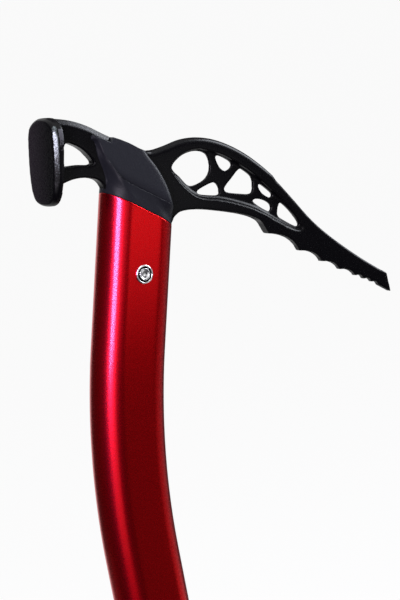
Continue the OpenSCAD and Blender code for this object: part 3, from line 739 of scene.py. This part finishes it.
def rounded(distance, width, height):
    """How far an edge, rounded over that width and height, has fallen at that distance from it."""
    if distance >= width:
        return 0.0
    return height * (1 - math.sqrt(1 - (1 - distance / width) ** 2))


def under_wall(deep, p):
    """The depth, kept under the steep wall that rises from the back edge, with a soft corner."""
    wall = wall_foot + wall_slope * np.hypot(*(back_points - p).T).min()
    near = max(wall_blend - abs(deep - wall), 0)
    return min(deep, wall) - near ** 2 / (4 * wall_blend)


print("tallest step in mm:", round(max(ledge(i / 20) for i in range(21)), 2))

# %% [markdown]
# A point of the grid lies on the flank, on the step or on the cheek. Columns and rows are drawn
# together at their ends, where the rounded edges are.

# %% Flank and cheek
flank_rows, step_rows, cheek_rows = 40, 2, 54
rim_round, rim_fall, foot_round = 0.5, 0.45, 0.3
roll_run, roll_share, edge_round = 4.0, 0.9, 0.42
steel_climb, least_half, foot_gap = 6, 0.06, 0.12
front_lean, cheek_span = 0.8, 41


def flank_point(u, t):
    """A point of the flank in column u, a share t of the way from the foot to the crease."""
    foot, crease = foot_at(u), crease_at(u)
    p = foot * (1 - t) + crease * t
    p = p + (1 - u) ** 2 * (back_line(t) - foot_at(0) * (1 - t) - np.array(tip_low) * t)
    rim = cheek_half(crease, crease_x - crease[0], u) + ledge(u)
    deep = max(tube_half(foot[0]) * (1 - t) + rim * t, steel_half * ease(steel_climb * t))
    deep = under_wall(deep, p)
    run = math.hypot(*(crease - foot))
    at_rim = rounded((1 - t) * run, rim_round, rim_fall * ledge(u))
    deep -= at_rim + rounded(t * run, foot_round, foot_round)
    return (p[0], -max(deep, least_half), p[1] + foot_gap * (1 - t))


def cheek_point(u, t):
    """A point of the cheek in column u, a share t of the way from the crease to the top."""
    front = front_line(t)
    crease, top = crease_at(u), top_at(u)
    p = crease * (1 - t) + top * t
    p = p + u * u * (front - crease_at(1) * (1 - t) - top_at(1) * t)
    to_front = max(front[0] - p[0], 0)
    run = math.hypot(*(top - crease))
    deep = under_wall(cheek_half(p, to_front, u), p)
    deep -= rounded(t * run, roll_run, roll_share * ledge(u))
    to_edge = min(front_lean * to_front, (1 - t) * run, u * cheek_span)
    deep -= rounded(to_edge, edge_round, edge_round)
    return (p[0], -deep, p[1])


def close_ends(s):
    """Spreads 0 to 1 with points drawn together at both ends."""
    return (1 - math.cos(math.pi * s)) / 2


def cover_point(share, row):
    """The point of the grid in a row, a share of the way along it."""
    u = close_ends(share)
    if row <= flank_rows:
        return flank_point(u, close_ends(row / flank_rows))
    if row >= flank_rows + step_rows:
        return cheek_point(u, close_ends((row - flank_rows - step_rows) / cheek_rows))
    down = (row - flank_rows) / step_rows
    return tuple(np.array(flank_point(u, 1)) * (1 - down) + np.array(cheek_point(u, 0)) * down)


print("cover rows:", flank_rows + step_rows + cheek_rows)

# %% Halves of the cover
cover_cols, mid_gap, cover_weld = 120, 0.02, 0.003


def cover_half():
    """The outside of one half as a grid, closed down to the middle plane."""
    rows = flank_rows + step_rows + cheek_rows
    bm = bmesh.new()
    bmesh.ops.create_grid(bm, x_segments=cover_cols, y_segments=rows, size=0.5)
    for vert in bm.verts:
        vert.co = cover_point(vert.co.x + 0.5, round((vert.co.y + 0.5) * rows))
    bmesh.ops.remove_doubles(bm, verts=bm.verts, dist=cover_weld)
    rim = [e for e in bm.edges if e.is_boundary]
    made = bmesh.ops.extrude_edge_only(bm, edges=rim)["geom"]
    for g in made:
        if isinstance(g, bmesh.types.BMVert):
            g.co.y = -mid_gap
    bmesh.ops.holes_fill(bm, edges=[e for e in bm.edges if e.is_boundary])
    bmesh.ops.recalc_face_normals(bm, faces=bm.faces)
    return bm


near_half = cover_half()
far_half = near_half.copy()
bmesh.ops.scale(far_half, vec=(1, -1, 1), verts=far_half.verts)
bmesh.ops.reverse_faces(far_half, faces=far_half.faces)
bmesh.ops.transform(near_half, matrix=HEAD_MM, verts=near_half.verts)
bmesh.ops.transform(far_half, matrix=HEAD_MM, verts=far_half.verts)
piece("cover_near", near_half, cover_nylon, "cover_nylon", "tool", "head_cover_left")
piece("cover_far", far_half, cover_nylon, "cover_nylon", "tool", "head_cover_right")

# %% [markdown]
# ## Rivets
# The head and the spike are each held by one hollow rivet. Its polished flange shows on the
# near side: a round shoulder, a groove, a raised ring and a dished middle. A profile spun
# round the rivet's axis gives all of that. The groove gets painted shade, marked as an attribute.

# %% Painted shade in the rivet's groove
groove_shade_colour = (0.004, 0.003, 0.004, 1)

nodes, links = polished_steel.node_tree.nodes, polished_steel.node_tree.links
shader = nodes["Principled BSDF"]
groove_shade = add(nodes, "ShaderNodeAttribute", attribute_name="groove_shade")
shaded_groove = add(nodes, "ShaderNodeMix", data_type="RGBA")
shaded_groove.inputs["A"].default_value = shader.inputs["Base Color"].default_value
shaded_groove.inputs["B"].default_value = groove_shade_colour
links.new(groove_shade.outputs["Fac"], shaded_groove.inputs["Factor"])
links.new(shaded_groove.outputs["Result"], shader.inputs["Base Color"])
print("grime added to:", polished_steel.name)

# %% Spun rivets
flange_profile = [(0.0, 0.12), (0.6, 0.16), (1.2, 0.3), (1.7, 0.53), (2.1, 0.78), (2.4, 0.88),
                  (2.62, 0.82), (2.74, 0.5), (2.8, 0.06), (3.3, 0.06), (3.36, 0.5), (3.5, 0.8),
                  (3.8, 0.87), (4.05, 0.7), (4.2, 0.35), (4.2, -1.0)]
tail_profile = [(0.0, 1.5), (1.3, 1.5), (1.6, 1.78), (2.9, 1.78), (3.25, 1.5), (3.35, 1.1),
                (3.35, -1.0)]
groove_from, groove_to, groove_top = 2.66, 3.44, 0.62
per_span, spin_steps, rivet_weld = 4, 64, 0.001


def turned(profile, middle, outward):
    """A profile of radius and height, spun round the axis through middle."""
    bm = bmesh.new()
    line = smooth_through(profile)
    count = per_span * (len(profile) - 1)
    spots = [line(i / count) for i in range(count + 1)]
    verts = [bm.verts.new((radius, 0, rise)) for radius, rise in spots]
    edges = [bm.edges.new(pair) for pair in zip(verts, verts[1:])]
    bmesh.ops.spin(bm, geom=verts + edges, cent=(0, 0, 0), axis=(0, 0, 1), angle=2 * math.pi,
                   steps=spin_steps, use_merge=True)
    bmesh.ops.remove_doubles(bm, verts=bm.verts, dist=rivet_weld)
    bmesh.ops.holes_fill(bm, edges=[e for e in bm.edges if e.is_boundary])
    bmesh.ops.recalc_face_normals(bm, faces=bm.faces)
    # Painted shade: the points in the groove are marked to be darkened.
    layer = bm.verts.layers.float.new("groove_shade")
    for vert in bm.verts:
        radius = math.hypot(vert.co.x, vert.co.y)
        in_groove = groove_from < radius < groove_to and 0 < vert.co.z < groove_top
        vert[layer] = 1.0 if in_groove else 0.0
    turn = Vector((0, 0, 1)).rotation_difference(Vector(outward)).to_matrix().to_4x4()
    seat = Matrix.Translation(middle) @ turn @ Matrix.Scale(MM, 4)
    bmesh.ops.transform(bm, matrix=seat, verts=bm.verts)
    return bm


spike_rivet_low, spike_rivet_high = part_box("spike_rivet")
spike_rivet = (spike_rivet_low + spike_rivet_high) / 2
skin_y = shaft_d / 2 * MM
for end, middle in (("head", rivet), ("spike", spike_rivet)):
    near = Vector((middle.x, -skin_y, middle.z))
    far = Vector((middle.x, skin_y, middle.z))
    flange = turned(flange_profile, near, (0, -1, 0))
    tail = turned(tail_profile, far, (0, 1, 0))
    piece(end + "_rivet_flange", flange, polished_steel, "rivet_steel", "tool",
          end + "_rivet", end + "_rivet_core")
    piece(end + "_rivet_tail", tail, polished_steel, "rivet_steel", "tool", end + "_rivet")

# %% [markdown]
# ## Grip
# The rubber sleeve is moulded: a flared lip at its foot, a plain band, a run of shallow ribs
# for the fingers and a thin rolled edge at the top. Rings of the tube's oval are stacked up the
# shaft, swelled by a height formula and bridged one to the next.

# %% Grip sleeve
grip_low, grip_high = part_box("grip_sleeve")
sleeve_t, lip_out, lip_h = 1.3, 2.6, 8.0
rib_from, rib_to, rib_pitch, rib_high = 0.042, 0.168, 0.006, 0.45
band_in, roll_out, roll_h, bore_gap = 0.4, 0.5, 1.6, 0.05
oval_points, sleeve_steps = 64, 190


def sleeve_swell(z):
    """How far the sleeve stands out from the tube at height z above its foot, in mm."""
    end = grip_high.z - grip_low.z
    lip = lip_out * (1 - ease(z / (lip_h * MM)))
    rib = 0.0
    if rib_from < z < rib_to:
        rib = rib_high * (0.5 - 0.5 * math.cos(2 * math.pi * (z - rib_from) / rib_pitch))
    rolled = roll_out * math.exp(-((end - z) / (roll_h * MM)) ** 2)
    return sleeve_t + lip - band_in * (rib > 0) + rib + rolled


def oval_ring(bm, swell, z):
    """One ring of the tube's oval, swelled by so many mm, at height z."""
    made = bmesh.ops.create_circle(bm, segments=oval_points, radius=(shaft_d / 2 + swell) * MM,
                                   matrix=Matrix.Rotation(math.pi / oval_points, 4, "Z"))["verts"]
    for vert in made:
        vert.co.x += math.copysign((shaft_w - shaft_d) / 2 * MM, vert.co.x)
        vert.co.z = z
    return list({e for v in made for e in v.link_edges})


sleeve = bmesh.new()
last = oval_ring(sleeve, bore_gap, grip_low.z)
for i in range(sleeve_steps + 1):
    z = i / sleeve_steps * (grip_high.z - grip_low.z)
    new = oval_ring(sleeve, sleeve_swell(z), grip_low.z + z)
    bmesh.ops.bridge_loops(sleeve, edges=last + new)
    last = new
new = oval_ring(sleeve, bore_gap, grip_high.z)
bmesh.ops.bridge_loops(sleeve, edges=last + new)
bmesh.ops.bridge_loops(sleeve, edges=[e for e in sleeve.edges if e.is_boundary])
bmesh.ops.recalc_face_normals(sleeve, faces=sleeve.faces)
piece("grip_sleeve_rubber", sleeve, grip_rubber, "grip_rubber", "tool", "grip_sleeve")

# %% [markdown]
# ## Spike, plug, hand rest and lever
# These pieces have the right shape in the CAD, and only their edges are too sharp. Each gets a
# merged copy whose flat faces are joined again, and a bevel on every edge that turns sharply.
# The two packers inside the tube keep their CAD shape and only get the nylon.

# %% Softened copies
flat_turn, sharp_turn = math.radians(0.6), math.radians(25.0)


def softened(node, radius):
    """A merged copy of a CAD node with its sharp edges rounded by radius mm."""
    bm = merged_copy(node)
    bmesh.ops.dissolve_limit(bm, angle_limit=flat_turn, verts=bm.verts, edges=bm.edges)
    between = [e for e in bm.edges if len(e.link_faces) == 2]
    sharp = [e for e in between if e.calc_face_angle() > sharp_turn]
    bmesh.ops.bevel(bm, geom=sharp, offset=radius * MM, offset_type="OFFSET", affect="EDGES",
                    segments=3, profile=0.5, material=-1, clamp_overlap=True, loop_slide=True)
    return bm


for node, radius, look, slot, body in (
        ("spike", 0.5, spike_steel, "spike_steel", "tool"),
        ("spike_plug", 0.4, cover_nylon, "cover_nylon", "tool"),
        ("hand_rest", 0.9, rest_nylon, "rest_nylon", "rest"),
        ("hand_rest_pad", 0.3, grip_rubber, "grip_rubber", "rest"),
        ("brake_shoe", 0.3, grip_rubber, "grip_rubber", "rest"),
        ("cam_lever", 0.6, lever_alloy, "lever_alloy", "lever"),
        ("lever_pin", 0.3, polished_steel, "rivet_steel", "rest")):
    made = piece(node + "_soft", softened(node, radius), look, slot, body, node)
    flat = made.modifiers.new("even shading", "WEIGHTED_NORMAL")
    flat.keep_sharp = True

for node in ("tang_packer_left", "tang_packer_right"):
    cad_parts[node].material_slots[0].material = cover_nylon

# %% [markdown]
# ## Studio
# The tool is shown on white. A strip of light beside the camera draws the long highlight on the
# tube. A camera sees so bright a stripe on red metal as pink violet, so a second, violet strip
# shines on the tube alone. A panel from the right runs along the slopes of the head, one above
# lights the rest, and a small glowing card stands where the tube's flat side mirrors it. Screens
# of felt and a cloth give the black steel and the tube something dark to mirror. All of these are
# hidden from the camera; the white behind the tool comes from the world and the floor.

# %% Where things stand
aim = HEAD_MM @ Vector((10, 0, 10))
eye_place = camera.matrix_world.translation
eye_turn = math.atan2(eye_place.y - aim.y, eye_place.x - aim.x)


def around(turn, rise, distance):
    """A point so many degrees to the right of the camera and above the head, distance metres away."""
    a, e = eye_turn + math.radians(turn), math.radians(rise)
    return aim + distance * Vector((math.cos(a) * math.cos(e), math.sin(a) * math.cos(e), math.sin(e)))


print("camera's turn about the head in degrees:", round(math.degrees(eye_turn), 1))

# %% Lamps
def lamp(name, turn, rise, distance, wide, tall, watts, colour):
    """A soft rectangular light that looks at the head."""
    light = bpy.data.lights.new(name, "AREA")
    light.shape = "RECTANGLE"
    light.size = wide
    light.size_y = tall
    light.energy = watts
    light.color = colour
    obj = bpy.data.objects.new(name, light)
    obj.location = around(turn, rise, distance)
    obj.rotation_mode = "QUATERNION"
    obj.rotation_quaternion = (aim - obj.location).to_track_quat("-Z", "Y")
    obj.visible_camera = False
    bpy.context.scene.collection.objects.link(obj)
    return obj


lamp("key strip", turn=-18, rise=19, distance=1.0, wide=0.3, tall=0.5, watts=13.5,
     colour=(1.0, 0.89, 1.05))
lamp("side panel", turn=108, rise=26, distance=1.0, wide=0.5, tall=0.6, watts=15.0,
     colour=(0.94, 0.98, 1.06))
lamp("top panel", turn=20, rise=72, distance=0.9, wide=0.6, tall=0.6, watts=4.0,
     colour=(0.97, 0.98, 1.04))
violet = lamp("violet strip", turn=-18, rise=26, distance=0.98, wide=0.32, tall=0.82,
              watts=135.0, colour=(0.0, 0.38, 1.0))
tube_only = bpy.data.collections.new("lit by the violet strip")
tube_only.objects.link(shaft_tube)
violet.light_linking.receiver_collection = tube_only
print("lights:", len(bpy.data.lights))

# %% Cards
def card_finish(name, shade, glow=None):
    """A dull card, or one that glows more from one height (metres, strength) to another."""
    material = bpy.data.materials.new(name)
    material.use_nodes = True
    nodes, links = material.node_tree.nodes, material.node_tree.links
    shader = nodes["Principled BSDF"]
    shader.inputs["Base Color"].default_value = (shade, shade, shade, 1)
    shader.inputs["Roughness"].default_value = 1.0
    if glow:
        (low, faint), (high, strong) = glow
        coords = add(nodes, "ShaderNodeTexCoord")
        height = add(nodes, "ShaderNodeSeparateXYZ")
        ramp = add(nodes, "ShaderNodeMapRange", from_min=low, from_max=high,
                   to_min=faint, to_max=strong)
        links.new(coords.outputs["Object"], height.inputs[0])
        links.new(height.outputs["Z"], ramp.inputs["Value"])
        links.new(ramp.outputs["Result"], shader.inputs["Emission Strength"])
        shader.inputs["Emission Color"].default_value = (1, 1, 1, 1)
    return material


def card(name, middle, wide, tall, look, upright=True):
    """A card hidden from the camera, upright and facing the head, or lying flat."""
    bm = bmesh.new()
    bmesh.ops.create_grid(bm, x_segments=1, y_segments=1, size=0.5)
    bmesh.ops.scale(bm, vec=(wide, tall, 1), verts=bm.verts)
    toward = Vector((aim.x - middle.x, aim.y - middle.y, 0))
    turn = toward.to_track_quat("Z", "Y") if upright else toward.to_track_quat("X", "Z")
    seat = Matrix.Translation(middle) @ turn.to_matrix().to_4x4()
    bmesh.ops.transform(bm, matrix=seat, verts=bm.verts)
    mesh = bpy.data.meshes.new(name)
    bm.to_mesh(mesh)
    bm.free()
    mesh.materials.append(look)
    obj = bpy.data.objects.new(name, mesh)
    obj.visible_camera = False
    obj.visible_shadow = False
    bpy.context.scene.collection.objects.link(obj)
    return obj


# %% Screens
dark_felt = card_finish("dark felt", 0.06)
right_felt = card_finish("right felt", 0.08)
grey_felt = card_finish("grey felt", 0.32)
screens = [("dark screen left", around(-95, 0, 0.7), 1.3, 1.4, dark_felt),
           ("dark screen right", around(59, 0, 0.9), 1.0, 1.4, right_felt),
           ("dark screen back", around(158, 0, 0.6), 0.7, 1.4, dark_felt),
           ("dark screen beside the strip", around(-43, 0, 0.8), 0.42, 1.4, dark_felt),
           ("dark screen front", around(17, -13, 0.9), 0.4, 0.4, dark_felt),
           ("grey screen low", around(106, -20, 0.6), 0.6, 0.3, grey_felt)]
for name, middle, wide, tall, look in screens:
    card(name, middle, wide, tall, look)
print("screens:", len(screens))

# %% Shaft panel and floor cloth
floor_z = cad_low.z
panel_low, panel_high = aim.z - 0.30, aim.z + 0.02
panel_faint = (panel_high - 0.10, 0.15)
panel_strong = (panel_high - 0.013, 1.5)
cloth_t = 0.002

panel_look = card_finish("panel light", 0.05, (panel_faint, panel_strong))
panel_middle = around(51, 0, 0.2)
panel_middle.z = (panel_low + panel_high) / 2
card("shaft panel", panel_middle, 0.11, panel_high - panel_low, panel_look)
cloth_middle = around(0, 0, 0.55)
cloth_middle.z = floor_z + cloth_t
card("floor cloth", cloth_middle, 1.0, 1.8, card_finish("dark cloth", 0.05), upright=False)
print("panel in mm above the floor:", [round((v - floor_z) / MM) for v in (panel_low, panel_high)])

# %% [markdown]
# A floor and a world as white as the background would flood the tool with light. So both are
# white only for rays from the camera or off a shiny surface, and dimmer for all others.

# %% Floor
floor_half, floor_shade, floor_glow = 20, 0.86, 0.93

floor = bmesh.new()
bmesh.ops.create_grid(floor, x_segments=1, y_segments=1, size=floor_half)
bmesh.ops.translate(floor, vec=(0, 0, floor_z), verts=floor.verts)
floor_mesh = bpy.data.meshes.new("floor")
floor.to_mesh(floor_mesh)
floor.free()
floor_obj = bpy.data.objects.new("floor", floor_mesh)
bpy.context.scene.collection.objects.link(floor_obj)


def seen_white(nodes, links):
    """1 for rays from the camera, and for those that a shiny or clear surface sends on."""
    path = add(nodes, "ShaderNodeLightPath")
    both = add(nodes, "ShaderNodeMath", operation="MAXIMUM")
    every = add(nodes, "ShaderNodeMath", operation="MAXIMUM")
    links.new(path.outputs["Is Camera Ray"], both.inputs[0])
    links.new(path.outputs["Is Glossy Ray"], both.inputs[1])
    links.new(both.outputs[0], every.inputs[0])
    links.new(path.outputs["Is Transmission Ray"], every.inputs[1])
    return every.outputs[0]


pale = bpy.data.materials.new("pale floor")
pale.use_nodes = True
nodes, links = pale.node_tree.nodes, pale.node_tree.links
shader = nodes["Principled BSDF"]
shader.inputs["Base Color"].default_value = (floor_shade, floor_shade, floor_shade, 1)
shader.inputs["Roughness"].default_value = 0.9
bright = add(nodes, "ShaderNodeEmission")
share = add(nodes, "ShaderNodeMath", operation="MULTIPLY")
share.inputs[1].default_value = floor_glow
both_looks = add(nodes, "ShaderNodeMixShader")
links.new(seen_white(nodes, links), share.inputs[0])
links.new(share.outputs[0], both_looks.inputs[0])
links.new(shader.outputs[0], both_looks.inputs[1])
links.new(bright.outputs[0], both_looks.inputs[2])
links.new(both_looks.outputs[0], nodes["Material Output"].inputs["Surface"])
floor_mesh.materials.append(pale)
print("floor at mm:", round(floor_z / MM, 1))

# %% White world
unseen_strength, seen_strength = 0.3, 1.0

world = bpy.data.worlds.new("white studio")
bpy.context.scene.world = world
world.use_nodes = True
nodes, links = world.node_tree.nodes, world.node_tree.links
ambient = nodes["Background"]
ambient.inputs["Color"].default_value = (1, 1, 1, 1)
strength = add(nodes, "ShaderNodeMapRange", to_min=unseen_strength, to_max=seen_strength)
links.new(seen_white(nodes, links), strength.inputs["Value"])
links.new(strength.outputs["Result"], ambient.inputs["Strength"])
print("world:", world.name)
